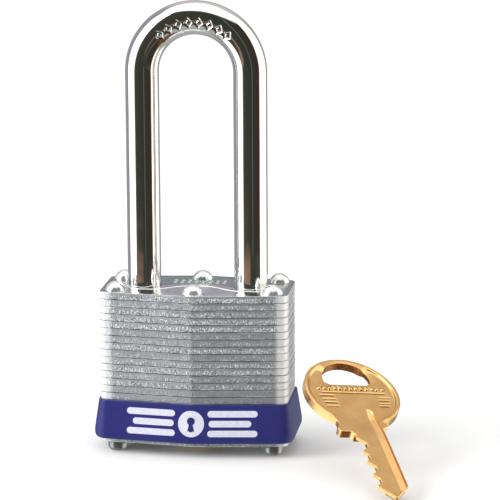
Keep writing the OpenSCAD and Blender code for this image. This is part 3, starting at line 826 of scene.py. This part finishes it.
def keyPiece():
    k = keySize
    loop = keyOutline()
    a0 = np.arcsin((k["holeFlat"] - k["holeY"]) / k["holeR"])
    a = np.linspace(a0 + 0.16, np.pi - a0 - 0.16, 56)
    arc = np.stack([k["holeR"] * np.cos(a), k["holeY"] + k["holeR"] * np.sin(a)], -1)
    flat = np.stack([np.linspace(-4.1, 4.1, 34), np.full(34, k["holeFlat"])], -1)
    hole = np.vstack([arc, flat])
    groove = np.array([[1.35, 2.5], [3.15, 2.5], [3.2, 22.5], [3.0, 26.2], [2.5, 28.6],
                       [1.9, 29.1], [1.5, 28.6], [1.3, 26.2]])
    groove = rounded(groove, [0.2] * 8, 0.5, 3)
    step = k["thinEdge"]
    thin = [rounded([[-9 - d, -1 - d], [-1.1 - d, -1 - d], [-1.1 - d, 20.15 - d],
                     [-9 - d, 20.15 - d]], [0.01] * 4, 0.3, 1) for d in (0, step)]
    # offset copies of each loop carry the rims; a fine grid fills the rest
    rings = []
    for line, turn in ((loop, -1), (hole, -1)):
        normal = unit(np.roll(line, -1, 0) - np.roll(line, 1, 0))[:, ::-1] * [turn, -turn]
        for d in (0.09, 0.16, 0.27, 0.42, 0.58, 0.72, 0.83, 0.93, 1.04, 1.2, 1.4):
            ring = line + normal * d
            both = np.minimum(distance(ring, loop), distance(ring, hole))
            rings.append(ring[both > d - 0.03])
    # the groove's wall falls over 0.12 mm
    gn = unit(np.roll(groove, -1, 0) - np.roll(groove, 1, 0))[:, ::-1] * [-1, 1]
    floor = groove + gn * 0.12
    grid = np.stack(np.meshgrid(np.arange(-10.5, 10.6, 0.21), np.arange(0.2, 46, 0.21)), -1)
    grid[1::2, :, 0] += 0.1
    grid = grid.reshape(-1, 2)
    spare = np.vstack([*rings, grid[np.minimum(distance(grid, loop), distance(grid, hole)) > 1.4],
                       grid[(np.abs(grid[:, 0]) < 5) & (grid[:, 1] < 22)]])
    inside = within(spare, loop) & ~within(spare, hole)
    near = np.min([distance(spare, line) for line in (groove, floor, *thin)], 0)
    edge = np.minimum(distance(spare, loop), distance(spare, hole))
    spare = spare[inside & (near > 0.09) & (edge > 0.07)]
    keep = np.unique(np.round(spare / 0.07).astype(int), axis=0, return_index=True)[1]
    points, triangles = trimmed(*filled(loop, [hole], spare[keep], [groove, floor, *thin]))
    rise, darkMarks = keyFace(points, loop, hole)
    inGroove = within(points, groove)
    gd = np.where(inGroove, distance(points, groove), 0)
    fade = smooth(points[:, 1], 29.2, 26.0)
    lean = 0.7 - 0.38 * (points[:, 0] - 1.3) / 1.9
    cut = lean * (0.15 + 0.85 * fade) * np.clip(gd / 0.12, 0, 1)
    upper = np.column_stack([points, rise - cut])
    milled = k["thinDepth"] * np.where(
        within(points, thin[0]), np.clip(distance(points, thin[0]) / step, 0, 1), 0)
    # the tip is bevelled from behind
    bevel = k["thinDepth"] * smooth(distance(points, loop), 1.6, 0) * smooth(points[:, 1], 5, 3.4)
    lower = np.column_stack([points, np.maximum(milled, bevel) - k["thick"] - rise])
    body, faces = slab(triangles, lower, upper)
    turn = Matrix.Rotation(keyTurn[2], 3, "Z") @ Matrix.Rotation(keyTurn[1], 3, "Y") \
        @ Matrix.Rotation(keyTurn[0], 3, "X")
    return (body @ np.array(turn).T + keyTip, faces), {
        "flat": body * mm, "darkMarks": np.tile(darkMarks, 2)}


# Height of a face against the blade's: an edge eased over 0.2 mm, a field sunk inside
# the bow, and on it a half-round rim, a bead round the hole, studs and scored lines.
def keyFace(points, loop, hole):
    k = keySize
    a, b = points.T
    toEdge, toHole = distance(points, loop), distance(points, hole)
    ease = -0.13 * (1 - np.clip(np.minimum(toEdge, toHole) / 0.2, 0, 1)) ** 2
    sunk = k["field"] * smooth(b, 17.5, 27.5)
    angle = np.degrees(np.arctan2((b - k["bowY"]) / k["bowHalf"], a / k["bowX"]))
    angle = np.where(angle < -90, angle + 360, angle)
    present = smooth(angle, -66, -56) * smooth(angle, 236, 222)

    def halfRound(d, middle, half):
        return np.sqrt(np.clip(1 - ((d - middle) / half) ** 2, 0, 1))

    rim = present * np.maximum(halfRound(toEdge, k["rim"] / 2, k["rim"] / 2),
                               smooth(toEdge, k["rim"] / 2, 0))
    aboveFlat = smooth(b, k["holeFlat"] - 0.1, k["holeFlat"] + 0.7)
    bead = aboveFlat * halfRound(toHole, k["bead"] / 2 + 0.08, k["bead"] / 2)
    studs = np.stack([np.linspace(-7, 7, 13), np.full(13, 35.75)], -1)
    toStud = np.linalg.norm(points[:, None] - studs, axis=2).min(1)
    stud = np.sqrt(np.clip(1 - (toStud / 0.42) ** 2, 0, 1))
    # rim and bead run together where the bow is narrow
    bridge = aboveFlat * smooth(toEdge + toHole, 2.45, 2.0)
    rise = sunk * np.max([rim, bead, bridge, 0.85 * stud], 0)
    lines = [((-6.6, 34.4), (7.2, 34.4))]
    for i in range(4):
        left, right = 33.3 - 1.15 * i, 33.0 - 0.95 * i
        lines += [((-7.3 + 0.25 * i, left), (-4.4 + 0.1 * i, left)),
                  ((5.4 - 0.1 * i, right), (7.9 - 0.3 * i, right))]
    score = 0
    for p, q in lines:
        d = distance(points, np.array([p, q]), closed=False)
        score = np.maximum(score, smooth(d, 0.24, 0.06))
    # the second value darkens the brass in the scored lines and in a ring round the foot of each stud
    ring = smooth(toStud, 0.7, 0.5) * smooth(toStud, 0.36, 0.44)
    return ease - sunk + rise - 0.16 * score, np.maximum(score, 0.6 * ring)


brass, tree = newMaterial("stampedNickelBrass")
flat = addNode(tree, "Attribute", attribute_name="flat").outputs["Vector"]
grit = addGrain(tree, (0.16, 0.16, 0.16), 3, 0.6, place=flat)
tarnish = addGrain(tree, (4, 4, 4), 3, 0.55, place=flat)
tumbled = addGrain(tree, (0.5, 1.6, 0.5), 2, 0.5, place=flat)
tone = addNode(tree, "ValToRGB", {"Fac": tarnish}, [(0.35, "#EABA78"), (0.65, "#F3C887")])
# the face is taken towards dark brown in the scored lines and round the studs
darkMarks = addNode(tree, "Attribute", attribute_name="darkMarks").outputs["Fac"]
darkened = addNode(tree, "Mix", {
    "Factor": addNode(tree, "Math", {0: darkMarks, 1: 0.95}, operation="MULTIPLY"),
    "A": tone, "B": linear("#5A3A16")}, data_type="RGBA")
pitted = addNode(tree, "Bump", {"Height": grit, "Distance": 0.02 * mm, "Strength": 0.45})
finishMaterial(tree, {
    "Base Color": darkened, "Metallic": 1.0,
    "Roughness": addNode(tree, "MapRange", {
        "Value": grit, "From Min": 0.3, "From Max": 0.7, "To Min": 0.15, "To Max": 0.27}),
    "Normal": addNode(tree, "Bump", {
        "Height": tumbled, "Distance": 0.05 * mm, "Strength": 0.22, "Normal": pitted})})

# the hole is punched and its wall left rough; the wall's dark brown colour is painted shade
holeWallShade, tree = newMaterial("holeWallPaintedShade")
flat = addNode(tree, "Attribute", attribute_name="flat").outputs["Vector"]
torn = addGrain(tree, (0.3, 0.3, 0.8), 3, 0.6, place=flat)
finishMaterial(tree, {
    "Base Color": addNode(tree, "ValToRGB", {"Fac": torn}, [(0.35, "#8A5528"), (0.65, "#B87C45")]),
    "Metallic": 0.9, "Roughness": 0.38,
    "Normal": addNode(tree, "Bump", {"Height": torn, "Distance": 0.04 * mm, "Strength": 0.5})})

keyShape, keyValues = keyPiece()
keyObject = addPiece("key_stamped", keyShape, "key", brass, ["key"], sharp=40,
                     values=keyValues)
keyObject.data.materials.append(holeWallShade)
middle = middles(keyValues["flat"] / mm, keyShape[1])
wall = np.concatenate([np.full(len(f), i == 2) for i, f in enumerate(keyShape[1])])
atHole = np.hypot(middle[:, 0], middle[:, 1] - keySize["holeY"]) < keySize["holeR"] + 0.15
keyObject.data.polygons.foreach_set("material_index", (wall & atHole).astype(np.int32))
print("key")

# works inside the case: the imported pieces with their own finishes
turnedBrass, tree = newMaterial("turnedCylinderBrass")
place = addNode(tree, "TexCoord").outputs["Object"]
lathe = addNode(tree, "TexWave", {
    "Vector": place, "Scale": 1 / (0.25 * mm) / 6.283, "Distortion": 1.5, "Detail": 2},
    wave_type="RINGS", rings_direction="Z").outputs["Fac"]
finishMaterial(tree, {
    "Base Color": speckled(tree, (2, 2, 2), 3, [(0.3, "#B98F4E"), (0.7, "#D8B26C")]),
    "Metallic": 1.0, "Roughness": 0.3,
    "Normal": addNode(tree, "Bump", {"Height": lathe, "Distance": 0.02 * mm, "Strength": 0.4})})

hardSteel, tree = newMaterial("oiledLeverSteel")
finishMaterial(tree, {
    "Base Color": speckled(tree, (1.5, 1.5, 1.5), 3, [(0.3, "#84898B"), (0.7, "#B4B8B9")]),
    "Metallic": 1.0, "Roughness": 0.35,
    "Normal": addNode(tree, "Bump", {
        "Height": addGrain(tree, (0.15, 1.2, 0.15)), "Distance": 0.02 * mm, "Strength": 0.5})})

springWire, tree = newMaterial("drawnSpringWire")
finishMaterial(tree, {
    "Base Color": speckled(tree, (0.4, 0.4, 0.4), 2, [(0.3, "#5A5D60"), (0.7, "#8B8F92")]),
    "Metallic": 1.0, "Roughness": 0.28,
    "Normal": addNode(tree, "Bump", {
        "Height": addGrain(tree, (0.2, 0.2, 0.2)), "Distance": 0.01 * mm, "Strength": 0.4})})

works = {
    turnedBrass: ["cylinder_shell", "chamber_cover", "plug", "lever_cam", "driver_pins",
                  "key_pin_1", "key_pin_2", "key_pin_3", "key_pin_4"],
    hardSteel: ["heel_lever", "toe_lever", "keeper_pin"],
    springWire: ["plug_clip", "pin_springs", "lever_springs", "shackle_spring"],
}
for finish, names in works.items():
    for name in names:
        nodes[name].data.materials.clear()
        nodes[name].data.materials.append(finish)
print("works")

# studio: a pale sweep, white panels at the sides and above, a dark room in front
floorMaterial, tree = newMaterial("paleSweep")
finishMaterial(tree, {"Base Color": linear("#F2F2F1"), "Roughness": 0.9,
                      "Specular IOR Level": 0.0})
floorHalf, floorPoints = 4, 9  # half its width in metres, and its points along a side
across = np.linspace(-1, 1, floorPoints) * floorHalf
gx, gy = np.meshgrid(across, across)
index = np.arange(floorPoints ** 2).reshape(floorPoints, floorPoints)
floorMesh = bpy.data.meshes.new("studio_floor")
floorMesh.from_pydata(
    np.stack([gx, gy, np.zeros_like(gx)], -1).reshape(-1, 3).tolist(), [],
    np.stack([index[:-1, :-1], index[:-1, 1:], index[1:, 1:], index[1:, :-1]], -1)
    .reshape(-1, 4).tolist())
floorMesh.materials.append(floorMaterial)
floor = bpy.data.objects.new("studio_floor", floorMesh)
bpy.context.scene.collection.objects.link(floor)
floor.visible_glossy = False

# What polished metal sees: bands by compass angle, measured from the case's front
# towards its right, with a bright ceiling above and a grey floor below. All angles are
# in degrees.
room = {
    "bands": [(-180, "#86858C"), (-101, "#7A7981"), (-96, "#FFFFFF"), (-48, "#FFFFFF"),
              (-42, "#36362F"), (-20, "#2F3029"), (17, "#272C28"), (20, "#565C54"),
              (24, "#2B2C28"), (66, "#30241E"), (71, "#54302A"), (75, "#FFFBF0"),
              (134, "#FFFBF0"), (140, "#7B837D"), (180, "#86858C")],
    "warm": [(-42, "#36362F"), (-40, "#86685A"), (-6, "#7E6250"), (9, "#30302A"),
             (26, "#2A2E2A"), (64, "#3C423D")],
    "overhead": [(-180, "#E6E0E2"), (-130, "#E6E0E2"), (-105, "#FFFFFF"), (105, "#FFFFFF"),
                 (135, "#E6E0E2"), (180, "#E6E0E2")],
    "under": [(-180, "#8C918E"), (28, "#8C918E"), (40, "#5E3716"), (66, "#5E3716"), (80, "#8C918E"),
              (180, "#8C918E")],
    "ceiling": (47, 55), "backWall": (22, 32), "backWallColour": "#ABA6A4",
    "behind": [(-155, 1), (-135, 0), (130, 0), (148, 1)],
    "backRise": 7, "floor": (-50, -41), "bench": (-12.55, -12.0), "benchEnd": (-19, -15),
    "mirrored": 1.6, "soft": 1.0,  # strength of the room in mirrors, and of the plain white light
}
world = bpy.data.worlds.new("studioRoom")
bpy.context.scene.world = world
world.use_nodes = True
tree = world.node_tree
tree.nodes.clear()
axes = addNode(tree, "SeparateXYZ", {
    "Vector": addNode(tree, "TexCoord").outputs["Generated"]}).outputs
mirroredY = addNode(tree, "Math", {0: axes["Y"], 1: -1}, operation="MULTIPLY")
compass = addNode(tree, "Math", {0: axes["X"], 1: mirroredY}, operation="ARCTAN2")
turns = addNode(tree, "Math", {0: compass, 1: 2 * math.pi}, operation="DIVIDE")
share = addNode(tree, "Math", {0: turns, 1: 0.5}, operation="ADD")
height = addNode(tree, "Math", {0: axes["Z"]}, operation="ARCSINE")


def roundTheRoom(stops):
    return addNode(tree, "ValToRGB", {"Fac": share}, [
        ((angle + 180) / 360, colour) for angle, colour in stops])


# From 0 to 1 between two heights in the room, in degrees, or from 1 to 0 where falling.
def heightStep(key, falling=False, level=height):
    low, high = (math.radians(angle) for angle in room[key])
    return addNode(tree, "MapRange", {
        "Value": level, "From Min": low, "From Max": high,
        "To Min": int(falling), "To Max": int(not falling)})


# a warm bench top stands low in front of the case's left half
first, last = (room["warm"][i][0] for i in (0, -1))
benchBands = ([stop for stop in room["bands"] if stop[0] < first] + room["warm"]
              + [stop for stop in room["bands"] if stop[0] > last])
bench = addNode(tree, "Math", {0: heightStep("bench", True), 1: heightStep("benchEnd")},
                operation="MULTIPLY")
bands = addNode(tree, "Mix", {"Factor": bench, "A": roundTheRoom(room["bands"]),
                              "B": roundTheRoom(benchBands)}, data_type="RGBA")
# the room's back wall is pale from half way up, and its ceiling begins higher
behind = roundTheRoom(room["behind"])
pale = addNode(tree, "Math", {0: heightStep("backWall"), 1: behind}, operation="MULTIPLY")
paleWall = addNode(tree, "Mix", {"Factor": pale, "A": bands, "B": linear(room["backWallColour"])},
                   data_type="RGBA")
raised = addNode(tree, "Math", {0: behind, 1: math.radians(room["backRise"])},
                 operation="MULTIPLY")
lowered = addNode(tree, "Math", {0: height, 1: raised}, operation="SUBTRACT")
sides = addNode(tree, "Mix", {"Factor": heightStep("floor", True), "A": paleWall,
                              "B": roundTheRoom(room["under"])}, data_type="RGBA")
seen = addNode(tree, "Mix", {"Factor": heightStep("ceiling", level=lowered), "A": sides,
                             "B": roundTheRoom(room["overhead"])}, data_type="RGBA")
paths = addNode(tree, "LightPath")
mirrored = addNode(tree, "Background", {"Color": seen, "Strength": room["mirrored"]})
soft = addNode(tree, "Background", {"Color": linear("#FFFFFF"), "Strength": room["soft"]})
addNode(tree, "OutputWorld", {"Surface": addNode(tree, "MixShader", {
    0: paths.outputs["Is Glossy Ray"], 1: soft, 2: mirrored})})
world.cycles.sampling_method = "NONE"


def addPanel(name, place, aim, size, watts, mirrored):
    data = bpy.data.lights.new(name, "AREA")
    data.shape, data.size, data.size_y, data.energy = "RECTANGLE", *size, watts
    panel = bpy.data.objects.new(name, data)
    panel.location = place
    panel.rotation_euler = (Vector(place) - Vector(aim)).to_track_quat("Z", "Y").to_euler()
    panel.visible_glossy = mirrored
    bpy.context.scene.collection.objects.link(panel)


addPanel("window_left", (-1.02, -0.42, 0.75), (0, 0, 0.03), (0.8, 0.8), 12.0, True)
addPanel("fill_right", (0.9, -0.9, 0.6), (0, 0, 0.03), (0.8, 0.8), 0.5, False)

view = {"at": (87.395, -556.188, 161.549), "azimuth": 7.804, "elevation": 11.949,
        "roll": -0.297, "lens": 196.27}
az, el, roll = (math.radians(view[k]) for k in ("azimuth", "elevation", "roll"))
back = Vector((math.sin(az) * math.cos(el), -math.cos(az) * math.cos(el), math.sin(el)))
right = Vector((math.cos(az), math.sin(az), 0))
up = back.cross(right)
side = math.cos(roll) * right + math.sin(roll) * up
above = back.cross(side)
cameraData = bpy.data.cameras.new("camera")
cameraData.lens, cameraData.sensor_width = view["lens"], 36
cameraData.clip_start, cameraData.clip_end = 0.01, 20
camera = bpy.data.objects.new("camera", cameraData)
camera.matrix_world = Matrix.Translation(Vector(view["at"]) * mm) @ Matrix(
    (side, above, back)).transposed().to_4x4()
bpy.context.scene.collection.objects.link(camera)
bpy.context.scene.camera = camera
bpy.context.scene.view_settings.view_transform = "Standard"
print("studio")

bpy.context.view_layer.update()
